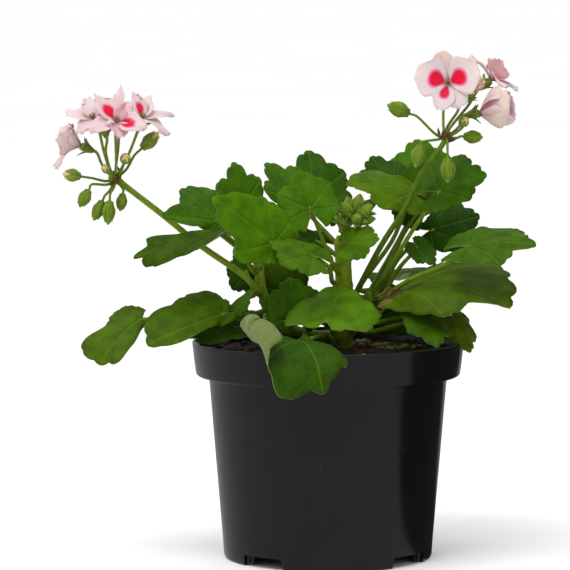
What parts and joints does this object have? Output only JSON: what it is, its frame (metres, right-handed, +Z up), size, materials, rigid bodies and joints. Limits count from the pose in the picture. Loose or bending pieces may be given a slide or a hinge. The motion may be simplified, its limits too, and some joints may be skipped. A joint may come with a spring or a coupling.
{
  "type": "potted geranium",
  "caption": "Zonal geranium with pale pink, crimson-blotched flower heads and scalloped green leaves, growing in soil in a round black plastic nursery pot",
  "frame": {"origin": "centre of the pot's underside, on the surface it stands on", "axes": "+Z up along the pot's axis; -Y is the front, where the large leaf hangs over the rim; +X is to the right seen from the front, towards the taller flower head"},
  "size_m": [0.2063, 0.1576, 0.2255],
  "materials": {
    "pot_plastic": "semi-matt black injection-moulded polypropylene",
    "soil": "damp peat compost with moss",
    "leaf": "soft, finely hairy leaf",
    "stem": "fleshy green stem",
    "bud": "green bud",
    "petal": "thin soft petal"
  },
  "bodies": {
    "root": {"leaf_back_left": "leaf", "leaf_back_low_left": "leaf", "leaf_back_low_middle": "leaf", "leaf_back_right": "leaf", "leaf_back_top": "leaf", "leaf_back_top_left": "leaf", "leaf_behind_left": "leaf", "leaf_centre_dark": "leaf", "leaf_centre_grazing": "leaf", "leaf_centre_top": "leaf", "leaf_far_left": "leaf", "leaf_far_right": "leaf", "leaf_front_middle": "leaf", "leaf_hanging_right": "leaf", "leaf_left_edge_on": "leaf", "leaf_left_low": "leaf", "leaf_left_round": "leaf", "leaf_left_shade": "leaf", "leaf_low_right": "leaf", "leaf_narrow_left": "leaf", "leaf_over_rim_front": "leaf", "leaf_over_rim_left": "leaf", "leaf_over_rim_right": "leaf", "leaf_right_back_cup": "leaf", "leaf_right_dark": "leaf", "leaf_right_front_cup": "leaf", "leaf_right_high_back": "leaf", "leaf_right_large": "leaf", "leaf_right_round": "leaf", "leaf_small_young": "leaf", "leaf_upper_left": "leaf", "left_bud_facing_high": "bud", "left_bud_facing_low": "bud", "left_bud_hanging_inner": "bud", "left_bud_hanging_middle": "bud", "left_bud_hanging_outer": "bud", "left_bud_low_outer": "bud", "left_bud_outer": "bud", "left_bud_upper_right": "bud", "left_floret_back": "petal", "left_floret_front": "petal", "left_floret_outer": "petal", "left_floret_right": "petal", "left_floret_top": "petal", "left_floret_upper_left": "petal", "left_flower_stalk": "stem", "main_stem": "stem", "nursery_pot": "pot_plastic", "potting_soil": "soil", "right_bud_drooping": "bud", "right_bud_hanging": "bud", "right_bud_outer": "bud", "right_bud_short": "bud", "right_bud_young": "bud", "right_floret_closed": "petal", "right_floret_large": "petal", "right_floret_lower": "petal", "right_floret_upper": "petal", "right_flower_stalk": "stem", "young_bud_cluster": "bud"}
  },
  "joints": []
}
